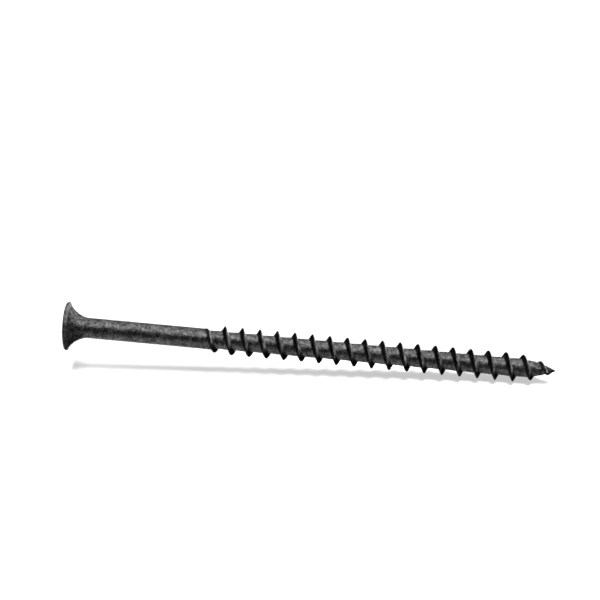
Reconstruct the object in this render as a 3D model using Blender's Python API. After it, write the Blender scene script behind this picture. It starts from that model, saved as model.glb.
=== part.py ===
"""Bugle-head wood screw, No. 10 by 3 1/2 inch, with a coarse thread on its front part.

The screw is one piece of cold-headed and thread-rolled steel wire, so it is one closed mesh.
Its axis is the X axis: the head face looks along -X, the point lies at +X, and the origin is
on the axis at half the length. Units are metres.

Run with: blender --background --python part.py
"""

import math

import bmesh
import bpy
from mathutils import Vector

MM = 0.001

# Overall sizes
LENGTH = 88.9 * MM
HEAD_RADIUS = 4.44 * MM
SHANK_RADIUS = 1.84 * MM
ROOT_RADIUS = 1.575 * MM
CREST_RADIUS = 2.6 * MM
PITCH = 3.175 * MM

# Head: a rounded edge, then a trumpet-shaped flare down to the shank
EDGE_RADIUS = 0.36 * MM
BAND_DEPTH = 0.38 * MM
FLARE_DEPTH = 4.05 * MM
FLARE_STEPS = 12
EDGE_STEPS = 3

# Cross recess in the head face, measured at the face unless it says otherwise
RECESS_REACH = 2.7 * MM
RECESS_HALF_WIDTH = 0.54 * MM
RECESS_CORNER = 0.75 * MM
RECESS_DEPTH = 2.9 * MM
RECESS_TIP_DEPTH = 3.2 * MM
RECESS_END_SLOPE = math.tan(math.radians(26.5))
RECESS_SIDE_SLOPE = 0.03
RECESS_CORNER_SLOPE = 0.10
RECESS_CORNER_STEPS = 4
CUTTER_STAND_OFF = 0.4 * MM

# Thread: where it starts, how it runs out at the shank, and how it tapers to the point
THREAD_START = 25.0 * MM
STEP_LENGTH = 1.0 * MM
RUN_OUT_LENGTH = 3.6 * MM
ROOT_TAPER_LENGTH = 7.5 * MM
ROOT_TAPER_POWER = 2.2
CREST_TAPER_LENGTH = 8.5 * MM
CREST_TAPER_POWER = 2.0
CREST_LEAD = 0.25 * MM
POINT_LENGTH = 0.3 * MM

# Mesh columns round the axis. One turn of the thread climbs one pitch, so each column's
# stations sit one COLUMN_RISE further along than the last column's.
COLUMNS = 40
COLUMN_RISE = PITCH / COLUMNS
# Thread form as (offset in column rises, share of the ridge height): a steep flank faces
# the point, a slacker one faces the head, and a narrow flat crest joins them.
THREAD_FORM = [(0, 0.0), (7, 1.0), (9, 1.0), (14, 0.0)]
# Turns the thread round the axis, so that its first full crest stands where it should
THREAD_PHASE = 6


def smooth_step(value):
    """Go from 0 to 1 with level ends as value goes from 0 to 1."""
    value = min(max(value, 0.0), 1.0)
    return value * value * (3.0 - 2.0 * value)


def taper(distance_to_tip, taper_length, power):
    """Go from 0 at the tip to 1 at taper_length, ending level there."""
    share = min(distance_to_tip / taper_length, 1.0)
    return 1.0 - (1.0 - share) ** power


def root_radius(along):
    """Radius between the threads, at a distance along from the head face."""
    step = smooth_step((along - THREAD_START) / STEP_LENGTH)
    straight = SHANK_RADIUS + (ROOT_RADIUS - SHANK_RADIUS) * step
    return straight * taper(LENGTH - along, ROOT_TAPER_LENGTH, ROOT_TAPER_POWER)


def ridge_height(along):
    """Height of the thread's crest over the root, at a distance along from the head face."""
    distance = LENGTH - along + CREST_LEAD
    crest = CREST_RADIUS * taper(distance, CREST_TAPER_LENGTH, CREST_TAPER_POWER)
    run_out = smooth_step((along - THREAD_START) / RUN_OUT_LENGTH)
    return (crest - root_radius(along)) * run_out


def on_lattice(along):
    """The nearest place that lies midway between two thread stations."""
    rises = math.floor((along - THREAD_START) / COLUMN_RISE)
    return THREAD_START + (rises + 0.5) * COLUMN_RISE


def point_at(along, radius, column):
    """A point of the surface, from its distance to the head face, its radius and its column."""
    angle = 2.0 * math.pi * column / COLUMNS
    return Vector((along - LENGTH / 2, radius * math.cos(angle), radius * math.sin(angle)))


def flare_point(share):
    """A point (along, radius) of the trumpet flare, a cubic curve that ends along the shank."""
    corners = [
        (BAND_DEPTH, HEAD_RADIUS),
        (0.73 * MM, 3.25 * MM),
        (2.58 * MM, SHANK_RADIUS),
        (FLARE_DEPTH, SHANK_RADIUS),
    ]
    weights = [
        (1 - share) ** 3,
        3 * share * (1 - share) ** 2,
        3 * share ** 2 * (1 - share),
        share ** 3,
    ]
    along = sum(weight * corner[0] for weight, corner in zip(weights, corners))
    radius = sum(weight * corner[1] for weight, corner in zip(weights, corners))
    return along, radius


def head_profile():
    """Outline of the head as (along, radius), from the face's edge to the shank."""
    outline = []
    for step in range(EDGE_STEPS + 1):
        angle = math.pi / 2 * step / EDGE_STEPS
        along = EDGE_RADIUS * (1 - math.cos(angle))
        radius = HEAD_RADIUS - EDGE_RADIUS * (1 - math.sin(angle))
        outline.append((along, radius))
    outline += [flare_point(step / FLARE_STEPS) for step in range(FLARE_STEPS + 1)]
    return outline


def add_ring(mesh, along, radius):
    """One ring of vertices round the axis."""
    return [mesh.verts.new(point_at(along, radius, column)) for column in range(COLUMNS)]


def join_rings(mesh, first, second):
    """Quads between two rings."""
    for column in range(COLUMNS):
        following = (column + 1) % COLUMNS
        mesh.faces.new((first[column], second[column], second[following], first[following]))


def add_thread(mesh):
    """The threaded skin between two flat rings, which are returned.

    Every column has a row of stations along the screw. Where the last column meets the
    first, the thread has climbed one pitch, so the stations there match one turn later.
    Stations that would lie past an end ring are gathered on it.
    """
    start = on_lattice(THREAD_START)
    end = on_lattice(LENGTH - POINT_LENGTH)
    per_turn = len(THREAD_FORM)
    turns = math.ceil((end - start) / PITCH) + 2
    made = {}

    def station_vertex(column, station):
        if column == COLUMNS:
            column, station = 0, station + per_turn
        turn, place = divmod(station, per_turn)
        offset, share = THREAD_FORM[place]
        rises = (turn - 1) * COLUMNS + offset + column - THREAD_PHASE
        along = THREAD_START + rises * COLUMN_RISE
        key = (column, station)
        if along < start:
            along, share, key = start, 0.0, (column, "start")
        elif along > end:
            along, share, key = end, 0.0, (column, "end")
        if key not in made:
            radius = root_radius(along) + share * ridge_height(along)
            made[key] = mesh.verts.new(point_at(along, radius, column))
        return made[key]

    for column in range(COLUMNS):
        for station in range(-per_turn, turns * per_turn):
            corners = [
                station_vertex(column, station),
                station_vertex(column, station + 1),
                station_vertex(column + 1, station + 1),
                station_vertex(column + 1, station),
            ]
            corners = list(dict.fromkeys(corners))
            if len(corners) > 2:
                mesh.faces.new(corners)
    first = [made[column, "start"] for column in range(COLUMNS)]
    last = [made[column, "end"] for column in range(COLUMNS)]
    return first, last


def build_screw_mesh():
    """Head, shank, thread and point as one closed mesh, without the recess."""
    mesh = bmesh.new()
    rings = [add_ring(mesh, along, radius) for along, radius in head_profile()]
    mesh.faces.new(rings[0])
    thread_first, thread_last = add_thread(mesh)
    rings.append(thread_first)
    for first, second in zip(rings, rings[1:]):
        join_rings(mesh, first, second)
    tip = mesh.verts.new((LENGTH / 2, 0.0, 0.0))
    for column in range(COLUMNS):
        mesh.faces.new((thread_last[column], tip, thread_last[(column + 1) % COLUMNS]))
    bmesh.ops.recalc_face_normals(mesh, faces=mesh.faces)
    return mesh


def recess_outline(depth):
    """Cross outline of the recess as (y, z) points, at a depth below the head face."""
    reach = RECESS_REACH - depth * RECESS_END_SLOPE
    half = RECESS_HALF_WIDTH - depth * RECESS_SIDE_SLOPE
    corner = RECESS_CORNER - depth * RECESS_CORNER_SLOPE
    quarter = [(reach, half)]
    for step in range(RECESS_CORNER_STEPS + 1):
        angle = math.pi / 2 * step / RECESS_CORNER_STEPS
        side = half + corner * (1 - math.sin(angle))
        rise = half + corner * (1 - math.cos(angle))
        quarter.append((side, rise))
    quarter.append((half, reach))
    outline = []
    for turn in range(4):
        cos, sin = [(1, 0), (0, 1), (-1, 0), (0, -1)][turn]
        outline += [(cos * y - sin * z, sin * y + cos * z) for y, z in quarter]
    return outline


def build_recess_mesh():
    """Tapered cross that cuts the recess, with a shallow pointed bottom."""
    mesh = bmesh.new()
    rings = []
    for depth in (-CUTTER_STAND_OFF, RECESS_DEPTH):
        x = depth - LENGTH / 2
        rings.append([mesh.verts.new((x, y, z)) for y, z in recess_outline(depth)])
    mouth, bottom = rings
    mesh.faces.new(mouth)
    tip = mesh.verts.new((RECESS_TIP_DEPTH - LENGTH / 2, 0.0, 0.0))
    for index, (first, second) in enumerate(zip(mouth, bottom)):
        following = (index + 1) % len(mouth)
        mesh.faces.new((first, second, bottom[following], mouth[following]))
        mesh.faces.new((second, tip, bottom[following]))
    bmesh.ops.recalc_face_normals(mesh, faces=mesh.faces)
    return mesh


def add_object(name, mesh):
    """A scene object from a bmesh, which is freed."""
    data = bpy.data.meshes.new(name)
    mesh.to_mesh(data)
    mesh.free()
    thing = bpy.data.objects.new(name, data)
    bpy.context.collection.objects.link(thing)
    return thing


def black_phosphate():
    """Dark grey, dull crystalline coating on steel."""
    material = bpy.data.materials.new("black_phosphate_steel")
    material.use_nodes = True
    surface = material.node_tree.nodes["Principled BSDF"]
    surface.inputs["Base Color"].default_value = (0.045, 0.045, 0.047, 1.0)
    surface.inputs["Metallic"].default_value = 0.35
    surface.inputs["Roughness"].default_value = 0.55
    material.diffuse_color = (0.045, 0.045, 0.047, 1.0)
    return material


def build_screw():
    """The screw with its recess cut."""
    screw = add_object("wood_screw", build_screw_mesh())
    screw.data.materials.append(black_phosphate())
    screw.data.shade_smooth()
    screw.data.set_sharp_from_angle(angle=math.radians(30))

    cutter = add_object("recess_cutter", build_recess_mesh())
    cutter.display_type = "WIRE"
    cutter.hide_render = True

    cut = screw.modifiers.new("cross recess", "BOOLEAN")
    cut.operation = "DIFFERENCE"
    cut.solver = "EXACT"
    cut.object = cutter
    return screw


for old in list(bpy.data.objects):
    bpy.data.objects.remove(old, do_unlink=True)
build_screw()
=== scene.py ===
"""The looks of the bugle-head wood screw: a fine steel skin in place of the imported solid, its
black phosphate coating, and a pale studio floor with light and a camera.

The screw lies on its side along X, with its head face at -X and its point at +X. Angles round
the axis start at +Y and turn towards +Z. Metres, unless a name or comment says otherwise.
"""

import math

import bpy
import numpy as np
from mathutils import Matrix, Vector, noise


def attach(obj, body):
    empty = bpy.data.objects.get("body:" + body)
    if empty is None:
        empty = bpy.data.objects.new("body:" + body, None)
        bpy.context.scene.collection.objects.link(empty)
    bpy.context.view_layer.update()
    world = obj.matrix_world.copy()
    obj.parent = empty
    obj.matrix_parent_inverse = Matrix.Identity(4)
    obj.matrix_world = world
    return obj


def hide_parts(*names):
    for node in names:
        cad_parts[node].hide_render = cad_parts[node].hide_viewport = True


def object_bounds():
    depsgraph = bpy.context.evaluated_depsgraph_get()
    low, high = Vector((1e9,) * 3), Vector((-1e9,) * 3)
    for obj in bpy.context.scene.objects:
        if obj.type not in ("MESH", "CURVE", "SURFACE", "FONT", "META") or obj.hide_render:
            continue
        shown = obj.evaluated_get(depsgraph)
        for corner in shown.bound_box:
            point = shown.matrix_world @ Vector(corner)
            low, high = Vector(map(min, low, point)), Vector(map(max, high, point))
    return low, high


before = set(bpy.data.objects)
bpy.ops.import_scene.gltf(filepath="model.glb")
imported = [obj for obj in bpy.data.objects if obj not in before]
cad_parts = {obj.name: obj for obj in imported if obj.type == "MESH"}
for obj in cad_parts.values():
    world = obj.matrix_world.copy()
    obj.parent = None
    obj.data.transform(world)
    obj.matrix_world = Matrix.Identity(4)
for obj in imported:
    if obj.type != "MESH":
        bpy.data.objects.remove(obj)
cad_low, cad_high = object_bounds()

MM = 0.001
NODE = "wood_screw"

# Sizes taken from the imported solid
LENGTH = cad_high.x - cad_low.x
HEAD_RADIUS = cad_high.z

# Head. The flare is a Bezier curve from the rim to the shank, pulled by its two middle corners.
FACE_EDGE = 0.28 * MM
BAND_DEPTH = 0.34 * MM
FLARE_DEPTH = 4.05 * MM
FLARE_RIM_PULL = (0.73 * MM, 3.22 * MM)
FLARE_NECK_PULL = 2.58 * MM
CORNER_SHARE = 0.10
HEAD_LEAN = math.tan(math.radians(1.6))
HEAD_LEAN_TOWARDS = math.radians(55.0)
HEAD_LEAN_REACH = 1.5 * FLARE_DEPTH

# Scuffs on the rim and the recess's lip, as shares. They are partly bare steel and partly
# painted highlight: the rim band and the lip are lighter all round, and the scuff at 124
# degrees lies where the rim catches the light. Each scuff on the rim has the angle of its middle
# and its reach both ways, in degrees. They all lie this far behind the face.
RIM_WEAR_AND_HIGHLIGHT = 0.25
LIP_WEAR_AND_HIGHLIGHT = 0.3
SCUFF_WEAR_AND_HIGHLIGHT = 1.5
RIM_SCUFFS_AND_HIGHLIGHT = ((124.0, 11.0), (245.0, 6.0), (352.0, 12.0))
SCUFF_MIDDLE = 0.54 * MM
SCUFF_WIDTH = 0.36 * MM

# Cross recess. Its hub is the innermost ring of its floor, as a share of the floor.
RECESS_REACH = 2.7 * MM
RECESS_HALF_WIDTH = 0.54 * MM
RECESS_NOSE = 0.75 * MM
RECESS_END_CORNER = 0.14 * MM
RECESS_DEPTH = 2.9 * MM
RECESS_TIP_DEPTH = 3.2 * MM
RECESS_LIP = 0.10 * MM
RECESS_HUB = 0.08
RECESS_END_SLOPE = math.tan(math.radians(26.5))
RECESS_SIDE_SLOPE = 0.03
RECESS_NOSE_SLOPE = 0.10

# Shank and thread. The step below the shank fades in this many times per turn.
SHANK_RADIUS = 1.84 * MM
ROOT_RADIUS = 1.6 * MM
CREST_RADIUS = 2.6 * MM
PITCH = 3.175 * MM
THREAD_START = 25.0 * MM
THREAD_END_GAP = 0.2 * MM
END_GATHER = 0.04 * MM
START_TURN = -0.0575
STEP_LENGTH = 0.25 * MM
STEP_FADE_IN = 5.0
RUN_OUT_LENGTH = 3.6 * MM
ROOT_TAPER_LENGTH = 7.5 * MM
ROOT_TAPER_POWER = 2.2
CREST_TAPER_LENGTH = 8.5 * MM
CREST_TAPER_POWER = 2.0
CREST_LEAD = 0.25 * MM

# Thread form along one pitch, from the foot of the flank that faces the head
HEAD_FLANK = 0.50 * MM
CREST_WIDTH = 0.15 * MM
POINT_FLANK = 0.36 * MM
ROOT_RISE = 0.09 * MM
ROOT_FILLET = 0.05 * MM
CREST_ROUNDING = 0.035 * MM

# Painted shade, as a blacker grey on the crest, the flank that faces the head, the underside and
# the face edge: its strength on the rim, the flare and the foot of the thread as shares of its
# strength on the crest, and how high on the underside it starts and is full, as rise over radius
FACE_EDGE_PAINTED_SHADE = 0.7
FLARE_PAINTED_SHADE = 0.5
FLANK_FOOT_PAINTED_SHADE = 0.7
# The painted shade and light fade in over the first length at the start of the thread. The point
# is darker over the second.
PAINT_RUN_IN = 0.3 * MM
BLACK_POINT = 3.0 * MM
UNDERSIDE_START = 0.45
UNDERSIDE_FULL = -0.30

# Relief of the coating and of the rolled steel: depths, and widths of the features. The grain is
# the share of the crystals' depth everywhere, and what the shank and the root add to it.
NOISE_FALL = 0.8
BASE_GRAIN, SHANK_GRAIN, ROOT_GRAIN = 0.35, 0.3, 0.65
CRYSTAL_DEPTH = 0.022 * MM
CRYSTAL_SIZE = 0.42 * MM
DRAWN_DEPTH = 0.007 * MM
DRAWN_SIZE = (2.4 * MM, 0.5 * MM, 0.5 * MM)
SWELL_DEPTH = 0.040 * MM
SWELL_SIZE = 1.3 * MM
CREST_LOSS = 0.07 * MM
CREST_LOSS_SIZE = 1.1 * MM
NICK_DEPTH = 0.25 * MM
NICK_SIZE = 0.7 * MM
NICK_THRESHOLD = 0.12
FOLD_DEPTH = 0.08 * MM
FOLD_SIZE = (0.45 * MM, 1.6 * MM, 1.6 * MM)
FOLDED_LENGTH = 16.0 * MM

# Finish: greys, shades that darken or lighten them, painted shade, painted light and painted
# highlight, and widths of the features. A speck's size is a share of the specks' spacing.
MOTTLE_SIZE = 0.75 * MM
MOTTLE_GREY = (0.055, 0.200)
FINE_SIZE = 0.34 * MM
FINE_SHADE = (0.50, 1.50)
PATCH_SIZE = 4.0 * MM
PATCH_SHADE = (0.88, 1.12)
PIT_SIZE = 0.5 * MM
PIT_SHADE = 0.40
# How dark the painted shade on the crest, the flank facing the head and the underside makes the
# grey
PAINTED_SHADE_FACTOR = 0.25
NECK_LENGTH = 6.0 * MM
NECK_SHADE = 0.84
# How much lighter the painted light on the upper side of the flank facing the point makes the
# grey, and the size and grey of its painted glints
PAINTED_LIGHT_FACTOR = 1.6
GLINT_SIZE = 0.9 * MM
GLINT_GREY = 0.6
SPECK_SPACING = 0.9 * MM
SPECK_SHARE = 0.10
SPECK_SIZE = 0.05
SPECK_GREY = 0.75
# Grey of the scuffs, which are partly bare steel and partly painted highlight
WORN_AND_HIGHLIGHT_GREY = 0.55
SHINY_METALLIC, DULL_METALLIC = 0.95, 0.2
# Sheen where no shade is painted, and where it is
UNSHADED_SHEEN, SHADED_SHEEN = 0.6, 0.2
ROUGHNESS = (0.30, 0.46)
WORN_ROUGHNESS = 0.28
BUMP_STRENGTH = 0.6
BUMP_DISTANCE = 0.035 * MM

# Mesh density: columns round the axis, stations along each pitch of the thread, and rings
HALF_ARM_STEPS = (3, 3, 5, 4)
COLUMNS = 8 * sum(HALF_ARM_STEPS)
STATIONS = 30
RECESS_FLOOR_RINGS = 8
RECESS_WALL_RINGS = 16
RECESS_LIP_RINGS = 6
FACE_RINGS = 14
FACE_EDGE_RINGS = 9
CORNER_RINGS = 7
FLARE_RINGS = 40
SHANK_SPACING = 0.17 * MM

# Studio floor: its size, and where the screw rests on it
FLOOR_REACH = 4.0
FLOOR_GAP = 0.02 * MM
PROP_ALONG = 27.5 * MM
PROP_HEIGHT = 4.9 * MM

# What the camera sees of the floor: a strip that holds the shadow is lit more strongly
STRIP_EDGE = (5.0 * MM, 3.5 * MM)
PLAIN_GLOW, STRIP_GLOW = 0.22, 0.52
PLAIN_ALBEDO, STRIP_ALBEDO = 0.085, 0.17
LAMP_SPREAD = math.radians(30.0)
LAMP_STRENGTH = 33.0

# What the steel mirrors of the floor: a glow that grows towards a line this far behind the
# screw and fades out round it. It also fades for rays that go right, and is weaker under the
# thread.
MIRROR_GLOW = 1.45
MIRROR_GROWTH = 8.0 * MM
MIRROR_NEAREST = 1.5 * MM
MIRROR_END = (9.0 * MM, 2.0 * MM)
MIRROR_TURN = (-0.35, 0.35)
THREAD_SHADE = 0.65
THREAD_SHADE_RUN_IN = (-30.5 * MM, -10.5 * MM)
MIRROR_ALBEDO = 0.02

# Studio light. The soft box starts, fades and ends over these angles, in degrees, counted from
# the front up over the screw to the back. The other pairs are components of the direction.
ROOM_RADIANCE = 0.03
BOX_RADIANCE = 2.3
BOX_START = (49.0, 74.0)
BOX_FADE = (84.0, 140.0)
BOX_FADED = 0.45
BOX_END = (182.0, 160.0)
BOX_LEFT_END = (-0.75, -0.15)
BOX_RIGHT_END = (0.97, 0.65)
WALL_BRIGHTNESS = 0.75
WALL_RIGHT = (0.05, 0.35)
WALL_BACK = (0.55, 0.80)

# Camera
CAMERA_AZIMUTH = math.radians(4.0)
CAMERA_ELEVATION = math.radians(35.0)
CAMERA_ROLL = math.radians(2.89)
CAMERA_SHIFT = (-1.71 * MM, 8.74 * MM, 0.0)
CAMERA_DISTANCE = 323.15 * MM
CAMERA_LENS = 107.4


def smooth_step(value):
    """Go from 0 to 1 with level ends as value goes from 0 to 1."""
    value = np.clip(value, 0.0, 1.0)
    return value * value * (3.0 - 2.0 * value)


def soft_min(first, second, width):
    """The lesser of two, with the corner between them rounded over width."""
    share = np.clip(0.5 + 0.5 * (second - first) / width, 0.0, 1.0)
    return second + (first - second) * share - width * share * (1.0 - share)


def soft_max(first, second, width):
    """The greater of two, with the corner between them rounded over width."""
    return -soft_min(-first, -second, width)


def taper(distance_to_tip, taper_length, power):
    """Go from 0 at the tip to 1 at taper_length, ending level there."""
    share = np.minimum(distance_to_tip / taper_length, 1.0)
    return 1.0 - (1.0 - share) ** power


def noise_at(points, size, seed, octaves=1):
    """Noise from about -1 to 1 at each point. Size is the width of its largest features, which
    can be a different width along each axis."""
    places = points / np.array(size) + np.array([17.3, 31.7, 5.9]) * seed
    return np.array([noise.fractal(place, NOISE_FALL, 2.0, octaves) for place in places])


# ---------------------------------------------------------------- shape

def head_outline():
    """(along, radius) of the head from the edge of its face to the start of the plain shank."""
    outline = []
    for angle in np.linspace(0.0, math.pi / 2, FACE_EDGE_RINGS):
        along = FACE_EDGE * (1.0 - math.cos(angle))
        outline.append((along, HEAD_RADIUS - FACE_EDGE * (1.0 - math.sin(angle))))
    flare = [
        (BAND_DEPTH, HEAD_RADIUS),
        FLARE_RIM_PULL,
        (FLARE_NECK_PULL, SHANK_RADIUS),
        (FLARE_DEPTH, SHANK_RADIUS),
    ]
    corner = [outline[-1], flare[0], bezier(flare, CORNER_SHARE)]
    for share in np.linspace(0.0, 1.0, CORNER_RINGS)[1:]:
        outline.append(bezier(corner, share))
    for share in np.linspace(CORNER_SHARE, 1.0, FLARE_RINGS)[1:]:
        outline.append(bezier(flare, share))
    return outline


def bezier(corners, share):
    """A point of the Bezier curve with these corners."""
    while len(corners) > 1:
        corners = [
            (a[0] + (b[0] - a[0]) * share, a[1] + (b[1] - a[1]) * share)
            for a, b in zip(corners, corners[1:])
        ]
    return corners[0]


def cross_outline(reach, half, nose_radius, end_corner):
    """(y, z) of the recess outline, one point for each column."""
    end_steps, corner_steps, side_steps, nose_steps = HALF_ARM_STEPS
    points = []
    for step in range(end_steps):
        points.append((reach, (half - end_corner) * step / end_steps))
    for step in range(corner_steps):
        angle = math.pi / 2 * step / corner_steps
        y = reach - end_corner * (1.0 - math.cos(angle))
        points.append((y, half - end_corner * (1.0 - math.sin(angle))))
    side_from, side_to = reach - end_corner, half + nose_radius
    for step in range(side_steps):
        points.append((side_from + (side_to - side_from) * step / side_steps, half))
    for step in range(nose_steps + 1):
        angle = math.pi / 4 * step / nose_steps
        y = side_to - nose_radius * math.sin(angle)
        points.append((y, side_to - nose_radius * math.cos(angle)))
    quarter = points + [(z, y) for y, z in points[-2:0:-1]]
    outline = []
    for cos, sin in ((1, 0), (0, 1), (-1, 0), (0, -1)):
        outline += [(cos * y - sin * z, sin * y + cos * z) for y, z in quarter]
    return np.array(outline)


def recess_outline(depth, outwards=0.0):
    """The recess outline at a depth, moved outwards into the metal."""
    return cross_outline(
        RECESS_REACH - depth * RECESS_END_SLOPE + outwards,
        RECESS_HALF_WIDTH - depth * RECESS_SIDE_SLOPE + outwards,
        RECESS_NOSE - depth * RECESS_NOSE_SLOPE - outwards,
        RECESS_END_CORNER + outwards,
    )


COLUMN_ANGLES = 2.0 * math.pi * np.arange(COLUMNS) / COLUMNS
CIRCLE = np.column_stack([np.cos(COLUMN_ANGLES), np.sin(COLUMN_ANGLES)])


def flat_ring(along, outline):
    """Points of a ring square to the axis, from its (y, z) outline."""
    return np.column_stack([np.full(COLUMNS, along - LENGTH / 2), outline])


def recess_rings():
    """Rings from the middle of the recess's floor up its walls and over its rounded lip."""
    floor = recess_outline(RECESS_DEPTH)
    rings = []
    for share in np.linspace(RECESS_HUB, 1.0, RECESS_FLOOR_RINGS):
        depth = RECESS_TIP_DEPTH + (RECESS_DEPTH - RECESS_TIP_DEPTH) * share
        rings.append(flat_ring(depth, floor * share))
    for depth in np.linspace(RECESS_DEPTH, RECESS_LIP, RECESS_WALL_RINGS)[1:]:
        rings.append(flat_ring(depth, recess_outline(depth)))
    for angle in np.linspace(0.0, math.pi / 2, RECESS_LIP_RINGS)[1:]:
        outwards = RECESS_LIP * (1.0 - math.cos(angle))
        depth = RECESS_LIP * (1.0 - math.sin(angle))
        rings.append(flat_ring(depth, recess_outline(0.0, outwards)))
    return rings


def face_rings():
    """Rings of the flat face between the recess's lip and the face's rounded edge."""
    inner = recess_outline(0.0, RECESS_LIP)
    outer = CIRCLE * (HEAD_RADIUS - FACE_EDGE)
    shares = np.linspace(0.0, 1.0, FACE_RINGS)[1:-1]
    return [flat_ring(0.0, inner + (outer - inner) * share) for share in shares]


def shank_rings():
    """Rings of the head's side and the plain shank, up to the thread."""
    outline = head_outline()
    count = round((THREAD_START - FLARE_DEPTH) / SHANK_SPACING)
    for along in np.linspace(FLARE_DEPTH, THREAD_START, count)[1:-1]:
        outline.append((along, SHANK_RADIUS))
    return [flat_ring(along, CIRCLE * radius) for along, radius in outline]


def ridge_form(offset):
    """Share of the thread's height at an offset along one pitch, with rounded corners."""
    height = CREST_RADIUS - ROOT_RADIUS
    rise = offset / HEAD_FLANK * height
    fall = (HEAD_FLANK + CREST_WIDTH + POINT_FLANK - offset) / POINT_FLANK * height
    ridge = soft_min(soft_min(rise, fall, CREST_ROUNDING), height, CREST_ROUNDING)
    return np.maximum(soft_max(ridge, 0.0, ROOT_FILLET) / height, 0.0)


def past_crest(offset):
    """Share of the flank that faces the point that lies before an offset along one pitch."""
    return (offset - HEAD_FLANK - CREST_WIDTH) / POINT_FLANK


def flank_painted_shade(offset):
    """Painted shade over the ridge: it starts at the foot of the flank that faces the head, is
    strongest on the crest, and ends just past it."""
    climbed = offset / HEAD_FLANK
    start = smooth_step((climbed + 0.1) / 0.4)
    build_up = FLANK_FOOT_PAINTED_SHADE + (1.0 - FLANK_FOOT_PAINTED_SHADE) * smooth_step(climbed)
    return start * build_up * smooth_step((0.25 - past_crest(offset)) / 0.25)


def point_flank_share(offset):
    """1 on the flank that faces the point and 0 elsewhere, with soft ends."""
    passed = past_crest(offset)
    return smooth_step(passed / 0.2) * smooth_step((1.15 - passed) / 0.25)


def root_lean(offset):
    """How far the root stands off its mean radius: it climbs from one thread to the next."""
    foot = HEAD_FLANK + CREST_WIDTH + POINT_FLANK
    share = ((offset - foot) % PITCH) / (PITCH - foot)
    return ROOT_RISE * (np.minimum(share, 1.0) - 0.5)


def thread_stations():
    """Offsets of the stations along one pitch, evenly spaced on the thread's outline. The first
    lies a little before the ridge."""
    offsets = np.linspace(0.0, PITCH, 2000) - 0.3 * HEAD_FLANK
    heights = ridge_form(offsets) * (CREST_RADIUS - ROOT_RADIUS)
    lengths = np.concatenate([[0.0], np.cumsum(np.hypot(np.diff(offsets), np.diff(heights)))])
    return np.interp(np.arange(STATIONS) / STATIONS * lengths[-1], lengths, offsets)


def root_radius(along, turn):
    """Radius between the threads.

    The rolled root lies a little under the shank. It starts at a shallow step that follows the
    first turn of the thread, and that fades in where that turn begins.
    """
    turns_past = (along - THREAD_START) / PITCH - turn
    step = STEP_LENGTH / PITCH
    fade_in = smooth_step(turn * STEP_FADE_IN)
    first = smooth_step(turns_past / step) * fade_in
    second = smooth_step((turns_past - 1.0) / step) * (1.0 - fade_in)
    drop = (SHANK_RADIUS - ROOT_RADIUS) * (first + second)
    point = taper(LENGTH - along, ROOT_TAPER_LENGTH, ROOT_TAPER_POWER)
    return (SHANK_RADIUS - drop) * point


def root_share(along):
    """How fully the thread is formed, from 0 at its start and at the point to 1 between."""
    start = smooth_step((along - THREAD_START) / RUN_OUT_LENGTH)
    return start * smooth_step((LENGTH - along) / ROOT_TAPER_LENGTH)


def crest_radius(along):
    """Radius of the thread's crest at full height, which closes in on the point."""
    distance = LENGTH - along + CREST_LEAD
    return CREST_RADIUS * taper(distance, CREST_TAPER_LENGTH, CREST_TAPER_POWER)


def thread_skin():
    """The threaded skin, as a grid that climbs one pitch per turn.

    Returns its points, its layers, and its faces as index tuples. The layers say for each point
    its share of the thread's height, its painted shade, and whether it lies on the flank that
    faces the point. The first COLUMNS points are the ring at the shank, and the last
    COLUMNS are the ring at the point.
    """
    start, end = THREAD_START, LENGTH - THREAD_END_GAP
    offsets = thread_stations()
    shares = ridge_form(offsets)
    leans = root_lean(offsets)
    ridge_shades = flank_painted_shade(offsets)
    flanks = point_flank_share(offsets)
    turns = math.ceil((end - start) / PITCH) + 3
    points, layers, index = [], [], {}

    def add(key, along, column, share=0.0, lean=0.0, ridge_shade=0.0, flank=0.0):
        """Store a point, its layers and its index."""
        turn = (column / COLUMNS - START_TURN) % 1.0
        root = root_radius(along, turn) + lean * root_share(along)
        run_out = smooth_step((along - THREAD_START) / RUN_OUT_LENGTH)
        radius = root + share * run_out * max(crest_radius(along) - root, 0.0)
        y, z = CIRCLE[column] * radius
        index[key] = len(points)
        points.append((along - LENGTH / 2, y, z))
        # The painted shade and the flank layer, which carries painted light, fade in at the
        # thread's start.
        painted = smooth_step((along - THREAD_START) / PAINT_RUN_IN)
        layers.append((share * run_out, ridge_shade * painted, flank * painted))

    for column in range(COLUMNS):
        add((column, "start"), start, column)

    def station(column, number):
        """Index of a grid point. Past the end it is negative and stands for the end ring."""
        if column == COLUMNS:
            column, number = 0, number + STATIONS
        turn, place = divmod(number, STATIONS)
        climb = column / COLUMNS - START_TURN
        along = start + PITCH * (turn - 1 + climb) + offsets[place] - HEAD_FLANK
        if along < start + END_GATHER:
            return index[column, "start"]
        if along > end - END_GATHER:
            return -1 - column
        if (column, number) not in index:
            form = shares[place], leans[place], ridge_shades[place], flanks[place]
            add((column, number), along, column, *form)
        return index[column, number]

    rough_faces = []
    for column in range(COLUMNS):
        for number in range(-STATIONS, turns * STATIONS):
            rough_faces.append((
                station(column, number),
                station(column, number + 1),
                station(column + 1, number + 1),
                station(column + 1, number),
            ))
    last = len(points)
    for column in range(COLUMNS):
        add((column, "end"), end, column)
    faces = []
    for corners in rough_faces:
        corners = [last - 1 - c if c < 0 else c for c in corners]
        corners = tuple(dict.fromkeys(corners))
        if len(corners) > 2:
            faces.append(corners)
    return np.array(points), np.array(layers).T, faces


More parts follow.
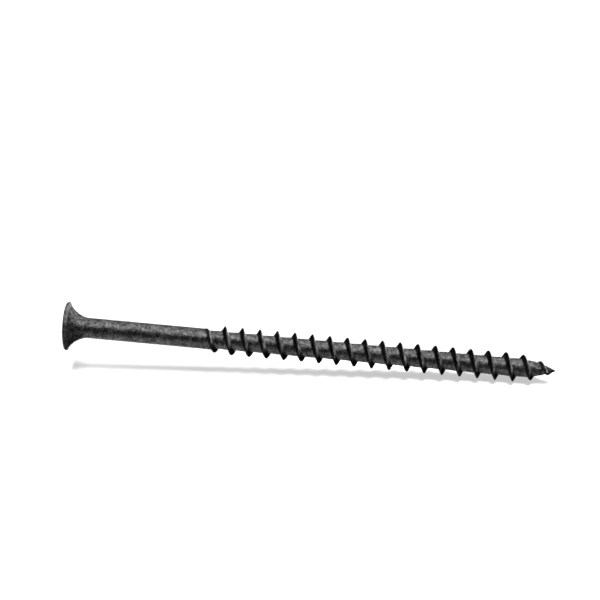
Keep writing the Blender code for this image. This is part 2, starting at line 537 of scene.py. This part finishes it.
def skin_parts():
    """Points, layers and faces of the whole skin. The layers are zero off the thread."""
    rings = recess_rings() + face_rings() + shank_rings()
    threads, thread_layers, thread_faces = thread_skin()
    floor_tip = [(RECESS_TIP_DEPTH - LENGTH / 2, 0.0, 0.0)]
    point_tip = [(LENGTH / 2, 0.0, 0.0)]
    points = np.concatenate([floor_tip] + rings + [threads, point_tip])
    layers = np.zeros((3, len(points)))
    base = 1 + len(rings) * COLUMNS
    layers[:, base:-1] = thread_layers

    faces = [tuple(base + corner for corner in corners) for corners in thread_faces]
    last = len(points) - 1 - COLUMNS
    for column in range(COLUMNS):
        following = (column + 1) % COLUMNS
        faces.append((0, 1 + column, 1 + following))
        faces.append((last + column, len(points) - 1, last + following))
        for near in range(1, base, COLUMNS):
            far = near + COLUMNS
            faces.append((near + column, far + column, far + following, near + following))
    return points, layers, faces


def edge_wear_and_highlight(points):
    """How bare each point is scuffed, from 0 to 1, on the rim and on the recess's lip. It is
    partly scuffing and partly painted highlight.
    """
    along = points[:, 0] + LENGTH / 2
    radius = np.hypot(points[:, 1], points[:, 2])
    angle = np.degrees(np.arctan2(points[:, 2], points[:, 1])) % 360.0
    scuffs = sum(np.exp(-((angle - middle) / width) ** 2) for middle, width in RIM_SCUFFS_AND_HIGHLIGHT)
    off_middle = (along - SCUFF_MIDDLE) / SCUFF_WIDTH
    rim = smooth_step(0.9 + off_middle) * smooth_step(0.9 - off_middle)
    rim *= np.minimum(RIM_WEAR_AND_HIGHLIGHT + SCUFF_WEAR_AND_HIGHLIGHT * scuffs, 1.0)
    lip = (along < RECESS_LIP) & (along > 0.0) & (radius < HEAD_RADIUS - 2.0 * FACE_EDGE)
    return np.maximum(rim, LIP_WEAR_AND_HIGHLIGHT * lip)


def painted_shade(points, ridge_shades, flanks):
    """Painted shade at each point: on the crest, on the flank that faces the head, on the
    underside of the other flank and of the flare, and on the edge of the face. The point is
    painted darker too."""
    along = points[:, 0] + LENGTH / 2
    radius = np.hypot(points[:, 1], points[:, 2])
    point = smooth_step((along - LENGTH + BLACK_POINT) / BLACK_POINT)
    edge = smooth_step(1.0 - along / (0.6 * FACE_EDGE)) * (radius > HEAD_RADIUS - FACE_EDGE)
    flare = smooth_step(2.0 - 2.0 * along / FLARE_DEPTH) * (along > BAND_DEPTH)
    under = underside(points) * np.maximum(flanks, FLARE_PAINTED_SHADE * flare)
    return np.max([ridge_shades, under, point, FACE_EDGE_PAINTED_SHADE * edge], axis=0)


def underside(points):
    """0 on the upper side of the screw and 1 on its underside. Shade is painted below, light
    above.
    """
    rise = points[:, 2] / np.maximum(np.hypot(points[:, 1], points[:, 2]), 0.01 * MM)
    return smooth_step((UNDERSIDE_START - rise) / (UNDERSIDE_START - UNDERSIDE_FULL))


def relief(points, normals, heights):
    """The points, moved along their normals as phosphate crystals, wire drawing and thread
    rolling leave the steel, with the crests a little uneven and the rim lightly nicked."""
    along = points[:, 0] + LENGTH / 2
    radius = np.hypot(points[:, 1], points[:, 2])
    rolled = smooth_step((along - THREAD_START) / STEP_LENGTH) * (1.0 - heights)
    plain = (along > BAND_DEPTH) * smooth_step((THREAD_START - along) / STEP_LENGTH)
    grain = BASE_GRAIN + SHANK_GRAIN * plain + ROOT_GRAIN * rolled
    near_point = smooth_step((along - LENGTH + FOLDED_LENGTH) / FOLDED_LENGTH) * rolled
    fade = smooth_step((LENGTH - along) / MM)

    depth = CRYSTAL_DEPTH * grain * noise_at(points, CRYSTAL_SIZE, 1, octaves=2)
    depth += DRAWN_DEPTH * plain * noise_at(points, DRAWN_SIZE, 2, octaves=2)
    depth += SWELL_DEPTH * rolled * noise_at(points, SWELL_SIZE, 3)
    depth -= FOLD_DEPTH * near_point * (1.0 - np.abs(noise_at(points, FOLD_SIZE, 4))) ** 6
    moved = points + normals * (depth * fade)[:, None]

    loss = CREST_LOSS * heights * np.maximum(noise_at(points, CREST_LOSS_SIZE, 5, octaves=2), 0.0)
    rim = smooth_step((radius - HEAD_RADIUS + 2.0 * FACE_EDGE) / (2.0 * FACE_EDGE))
    nicks = np.maximum(noise_at(points, NICK_SIZE, 6, octaves=2) - NICK_THRESHOLD, 0.0)
    loss += NICK_DEPTH * rim * nicks
    moved[:, 1:] *= 1.0 - (loss / np.maximum(radius, MM))[:, None]
    return moved


def leaned(points):
    """The points, with the head a little off square to the shank, as cold heading leaves it."""
    along = points[:, 0] + LENGTH / 2
    y, z = points[:, 1], points[:, 2]
    rise = y * math.cos(HEAD_LEAN_TOWARDS) + z * math.sin(HEAD_LEAN_TOWARDS)
    share = smooth_step((HEAD_LEAN_REACH - along) / HEAD_LEAN_REACH)
    points[:, 0] -= HEAD_LEAN * rise * share
    return points


def skin_mesh():
    """The whole skin as one closed mesh with its relief. Three attributes for the material say
    for each point its scuffs, which are partly painted highlight, its painted shade and its
    painted light."""
    points, (heights, ridge_shades, flanks), faces = skin_parts()
    mesh = bpy.data.meshes.new("screw_skin")
    mesh.from_pydata(points.tolist(), [], faces)
    mesh.update()
    normals = np.zeros(len(points) * 3, np.float32)
    mesh.vertex_normals.foreach_get("vector", normals)
    moved = leaned(relief(points, normals.reshape(-1, 3), heights))
    mesh.vertices.foreach_set("co", moved.ravel().astype(np.float32))
    # Scuffs that are partly painted highlight, painted shade, and painted light on the upper side
    # of the flank that faces the point
    looks = {
        "wear_and_highlight": edge_wear_and_highlight(points),
        "painted_shade": painted_shade(points, ridge_shades, flanks),
        "painted_flank_light": flanks * (1.0 - underside(points)),
    }
    for name, values in looks.items():
        layer = mesh.attributes.new(name, "FLOAT", "POINT")
        layer.data.foreach_set("value", values.astype(np.float32))
    mesh.update()
    mesh.shade_smooth()
    return mesh


def build_screw():
    """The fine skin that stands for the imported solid."""
    screw = bpy.data.objects.new("screw_skin", skin_mesh())
    bpy.context.scene.collection.objects.link(screw)
    screw.data.materials.append(phosphate_material())
    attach(screw, "root")
    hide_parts(NODE)


# ---------------------------------------------------------------- finish

class Nodes:
    """A material's or a world's node tree, with short calls for the nodes used here."""

    def __init__(self, tree):
        self.tree = tree

    def add(self, kind, **inputs):
        """A new node. Each input is a value or another node's output."""
        node = self.tree.nodes.new(kind)
        for name, value in inputs.items():
            self.set(node, name.replace("_", " "), value)
        return node

    def set(self, node, name, value):
        """Give a node's input a value, or link another node's output to it."""
        if isinstance(value, bpy.types.NodeSocket):
            self.tree.links.new(value, node.inputs[name])
        else:
            node.inputs[name].default_value = value

    def math(self, operation, first, second=0.0):
        """A number worked out from one or two others."""
        node = self.tree.nodes.new("ShaderNodeMath")
        node.operation = operation
        self.set(node, 0, first)
        self.set(node, 1, second)
        return node.outputs[0]

    def ramp(self, value, low, high, to_low=0.0, to_high=1.0):
        """A smooth change from to_low to to_high as value goes from low to high."""
        node = self.tree.nodes.new("ShaderNodeMapRange")
        node.interpolation_type = "SMOOTHSTEP"
        for name, number in zip(range(5), (value, low, high, to_low, to_high)):
            self.set(node, name, number)
        return node.outputs[0]

    def mix(self, share, first, second):
        """A blend of two numbers."""
        node = self.tree.nodes.new("ShaderNodeMix")
        for name, number in zip(("Factor", "A", "B"), (share, first, second)):
            self.set(node, name, number)
        return node.outputs["Result"]

    def grey_colour(self, value):
        """A number as a grey."""
        node = self.add("ShaderNodeCombineColor", Red=value, Green=value, Blue=value)
        return node.outputs[0]

    def attribute(self, name):
        """A number stored on the mesh."""
        node = self.tree.nodes.new("ShaderNodeAttribute")
        node.attribute_name = name
        return node.outputs["Fac"]

    def specks(self, place, spacing, share, size):
        """Round spots, 1 inside and 0 outside, in a share of cells of this spacing."""
        cells = self.add("ShaderNodeTexVoronoi", Vector=place, Scale=1.0 / spacing)
        chosen = self.add("ShaderNodeSeparateColor", Color=cells.outputs["Color"]).outputs[0]
        chosen = self.math("LESS_THAN", chosen, share)
        return self.math("MULTIPLY", chosen, self.ramp(cells.outputs["Distance"], 2 * size, size))

    def noise(self, place, size, detail=2.0, roughness=0.5, distortion=0.0):
        """Noise from 0 to 1 with features of about this size."""
        node = self.add(
            "ShaderNodeTexNoise", Vector=place, Scale=1.0 / size, Detail=detail,
            Roughness=roughness, Distortion=distortion,
        )
        return node.outputs[0]


def phosphate_material():
    """Black phosphate on steel with a trace of oil: mottled dark grey crystals with a dull
    metallic sheen, dark pits and small pale specks. Painted shade makes the thread and the
    underside blacker, painted light and glints make the upper side of the flank facing the point
    paler, and the scuffs on the rim and the recess's lip are partly painted highlight."""
    material = bpy.data.materials.new("black_phosphate_steel")
    material.use_nodes = True
    nodes = Nodes(material.node_tree)
    surface = material.node_tree.nodes["Principled BSDF"]
    place = nodes.add("ShaderNodeTexCoord").outputs["Object"]
    along = nodes.add("ShaderNodeSeparateXYZ", Vector=place).outputs["X"]
    wear_and_highlight, shaded, painted_flank_light = [nodes.attribute(name) for name in ("wear_and_highlight", "painted_shade", "painted_flank_light")]

    mottle = nodes.noise(place, MOTTLE_SIZE, detail=4.0, roughness=0.7)
    crystals = nodes.noise(place, FINE_SIZE, detail=4.0, roughness=0.65)
    patches = nodes.noise(place, PATCH_SIZE)
    pits = nodes.ramp(nodes.noise(place, PIT_SIZE, distortion=1.5), 0.28, 0.38)
    # Painted glints on the lit flank
    glints = nodes.ramp(nodes.noise(place, GLINT_SIZE), 0.56, 0.64)
    specks = nodes.specks(place, SPECK_SPACING, SPECK_SHARE, SPECK_SIZE)
    # Scuffs, partly painted highlight
    worn_and_highlit = nodes.math("MULTIPLY", wear_and_highlight, nodes.ramp(mottle, 0.35, 0.60, 0.3, 1.0))
    neck = FLARE_DEPTH - LENGTH / 2

    grey = nodes.ramp(mottle, 0.34, 0.66, *MOTTLE_GREY)
    for shade in (
        nodes.ramp(crystals, 0.32, 0.68, *FINE_SHADE),
        nodes.ramp(patches, 0.3, 0.7, *PATCH_SHADE),
        nodes.mix(pits, PIT_SHADE, 1.0),
        # Painted shade
        nodes.mix(shaded, 1.0, PAINTED_SHADE_FACTOR),
        nodes.ramp(along, neck, neck + NECK_LENGTH, NECK_SHADE, 1.0),
        # Painted light on the upper side of the flank that faces the point
        nodes.mix(painted_flank_light, 1.0, PAINTED_LIGHT_FACTOR),
    ):
        grey = nodes.math("MULTIPLY", grey, shade)
    # Painted glints on that flank
    grey = nodes.mix(nodes.math("MULTIPLY", painted_flank_light, glints), grey, GLINT_GREY)
    grey = nodes.mix(specks, grey, SPECK_GREY)
    grey = nodes.mix(worn_and_highlit, grey, WORN_AND_HIGHLIGHT_GREY)
    nodes.set(surface, "Base Color", nodes.grey_colour(grey))

    dull = nodes.math("MAXIMUM", painted_flank_light, worn_and_highlit)
    # Less sheen where shade is painted
    sheen = nodes.mix(shaded, UNSHADED_SHEEN, SHADED_SHEEN)
    nodes.set(surface, "Metallic", nodes.mix(dull, SHINY_METALLIC, DULL_METALLIC))
    nodes.set(surface, "Specular Tint", nodes.grey_colour(sheen))

    rough = nodes.ramp(crystals, 0.25, 0.75, *ROUGHNESS)
    rough = nodes.mix(nodes.math("MULTIPLY", worn_and_highlit, 0.5), rough, WORN_ROUGHNESS)
    nodes.set(surface, "Roughness", rough)

    height = nodes.math("ADD", nodes.math("MULTIPLY", mottle, 2.0), crystals)
    bump = nodes.add(
        "ShaderNodeBump", Strength=BUMP_STRENGTH, Distance=BUMP_DISTANCE, Height=height
    )
    nodes.set(surface, "Normal", bump.outputs[0])
    return material


# ---------------------------------------------------------------- studio

def side_wall(nodes, right, back):
    """How bright the side wall is in a direction, as a share of the soft box: it stands to the
    right and back."""
    wall = nodes.math("MULTIPLY", nodes.ramp(right, *WALL_RIGHT), nodes.ramp(back, *WALL_BACK))
    return nodes.math("MULTIPLY", wall, WALL_BRIGHTNESS)


def floor_mesh():
    """The floor: level past the place where the thread touches it, and sloping down below the
    rest of the screw towards its head."""
    touch_x, touch_z = LENGTH / 2 - CREST_TAPER_LENGTH, -CREST_RADIUS - FLOOR_GAP
    prop_x, prop_z = PROP_ALONG - LENGTH / 2, -SHANK_RADIUS - PROP_HEIGHT
    slope = (touch_z - prop_z) / (touch_x - prop_x)
    low_z = touch_z - slope * (touch_x + FLOOR_REACH)
    corners = []
    for x, z in ((-FLOOR_REACH, low_z), (touch_x, touch_z), (FLOOR_REACH, touch_z)):
        corners += [(x, -FLOOR_REACH, z), (x, FLOOR_REACH, z)]
    mesh = bpy.data.meshes.new("studio_floor")
    mesh.from_pydata(corners, [], [(0, 2, 3, 1), (2, 4, 5, 3)])
    return mesh


def mirrored_glow(nodes, along, depth):
    """How brightly the floor glows for rays that leave the steel."""
    incoming = nodes.add("ShaderNodeNewGeometry").outputs["Incoming"]
    towards = nodes.add("ShaderNodeVectorMath", Vector=incoming)
    towards.operation = "SCALE"
    nodes.set(towards, "Scale", -1.0)
    right, back, _ = nodes.add("ShaderNodeSeparateXYZ", Vector=towards.outputs[0]).outputs

    distance = nodes.math("SUBTRACT", MIRROR_GROWTH, depth)
    distance = nodes.math("MAXIMUM", distance, MIRROR_NEAREST)
    glow = nodes.math("DIVIDE", MIRROR_GROWTH * MIRROR_GLOW, distance)
    for share in (
        nodes.ramp(depth, *MIRROR_END),
        nodes.ramp(right, *MIRROR_TURN, 1.0, 0.0),
        nodes.ramp(along, *THREAD_SHADE_RUN_IN, 1.0, THREAD_SHADE),
    ):
        glow = nodes.math("MULTIPLY", glow, share)
    wall = nodes.math("MULTIPLY", side_wall(nodes, right, back), BOX_RADIANCE)
    return nodes.math("MAXIMUM", glow, wall)


def build_floor():
    """A pale floor that touches the thread near the point. The head's end of the screw is
    propped up over it.

    The camera sees the floor as a light table, so that shadows on it stay pale. The steel
    mirrors it as brightest just behind the screw and darker further off, and rays that leave
    the steel to the right find it dark, apart from the side wall's light.
    """
    floor = bpy.data.objects.new("studio_floor", floor_mesh())
    bpy.context.scene.collection.objects.link(floor)

    material = bpy.data.materials.new("studio_floor")
    material.use_nodes = True
    nodes = Nodes(material.node_tree)
    surface = material.node_tree.nodes["Principled BSDF"]
    seen = nodes.add("ShaderNodeLightPath").outputs["Is Camera Ray"]
    place = nodes.add("ShaderNodeTexCoord").outputs["Object"]
    along, depth, _ = nodes.add("ShaderNodeSeparateXYZ", Vector=place).outputs
    strip = nodes.ramp(depth, *STRIP_EDGE)
    seen_glow = nodes.mix(strip, PLAIN_GLOW, STRIP_GLOW)
    seen_albedo = nodes.mix(strip, PLAIN_ALBEDO, STRIP_ALBEDO)
    albedo = nodes.mix(seen, MIRROR_ALBEDO, seen_albedo)
    glow = nodes.mix(seen, mirrored_glow(nodes, along, depth), seen_glow)
    nodes.set(surface, "Base Color", nodes.grey_colour(albedo))
    nodes.set(surface, "Emission Color", (1.0, 1.0, 1.0, 1.0))
    nodes.set(surface, "Emission Strength", glow)
    nodes.set(surface, "Roughness", 1.0)
    nodes.set(surface, "Specular IOR Level", 0.0)
    floor.data.materials.append(material)
    return floor


def build_table_lamp(floor):
    """A soft lamp overhead. It lights only the floor, for the screw's shadow there."""
    data = bpy.data.lights.new("table_lamp", "SUN")
    data.angle = LAMP_SPREAD
    data.energy = LAMP_STRENGTH
    lamp = bpy.data.objects.new("table_lamp", data)
    bpy.context.scene.collection.objects.link(lamp)
    lit = bpy.data.collections.new("lit_by_table_lamp")
    lit.objects.link(floor)
    lamp.light_linking.receiver_collection = lit


def build_light():
    """A studio as one world: a wide soft box overhead that fades towards the back, a paler side
    wall to the right and back, and dark walls elsewhere. The camera itself sees plain white."""
    world = bpy.data.worlds.new("studio")
    bpy.context.scene.world = world
    world.use_nodes = True
    nodes = Nodes(world.node_tree)
    towards = nodes.add("ShaderNodeTexCoord").outputs["Generated"]
    right, back, up = nodes.add("ShaderNodeSeparateXYZ", Vector=towards).outputs
    sweep = nodes.math("ARCTAN2", up, nodes.math("MULTIPLY", back, -1.0))
    box = nodes.ramp(sweep, *np.radians(BOX_START))
    for share in (
        nodes.ramp(sweep, *np.radians(BOX_FADE), 1.0, BOX_FADED),
        nodes.ramp(sweep, *np.radians(BOX_END)),
        nodes.ramp(right, *BOX_LEFT_END),
        nodes.ramp(right, *BOX_RIGHT_END),
    ):
        box = nodes.math("MULTIPLY", box, share)
    light = nodes.math("MAXIMUM", box, side_wall(nodes, right, back))
    seen = nodes.add("ShaderNodeLightPath").outputs["Is Camera Ray"]
    strength = nodes.mix(seen, nodes.mix(light, ROOM_RADIANCE, BOX_RADIANCE), 1.0)
    background = world.node_tree.nodes["Background"]
    nodes.set(background, "Color", (1.0, 1.0, 1.0, 1.0))
    nodes.set(background, "Strength", strength)


def build_camera():
    """The camera, at the angle the screw is seen from."""
    data = bpy.data.cameras.new("camera")
    camera = bpy.data.objects.new("camera", data)
    bpy.context.scene.collection.objects.link(camera)
    data.sensor_width = 36.0
    data.lens = CAMERA_LENS
    data.clip_start, data.clip_end = 0.01, 20.0
    back = Vector((
        math.sin(CAMERA_AZIMUTH) * math.cos(CAMERA_ELEVATION),
        -math.cos(CAMERA_AZIMUTH) * math.cos(CAMERA_ELEVATION),
        math.sin(CAMERA_ELEVATION),
    ))
    level_turn = (-back).to_track_quat("-Z", "Y").to_matrix()
    turn = level_turn @ Matrix.Rotation(CAMERA_ROLL, 3, "Z")
    place = turn @ Vector(CAMERA_SHIFT) + back * CAMERA_DISTANCE
    camera.matrix_world = Matrix.Translation(place) @ turn.to_4x4()
    bpy.context.scene.camera = camera


build_screw()
build_table_lamp(build_floor())
build_light()
build_camera()
bpy.context.scene.view_settings.view_transform = "Standard"
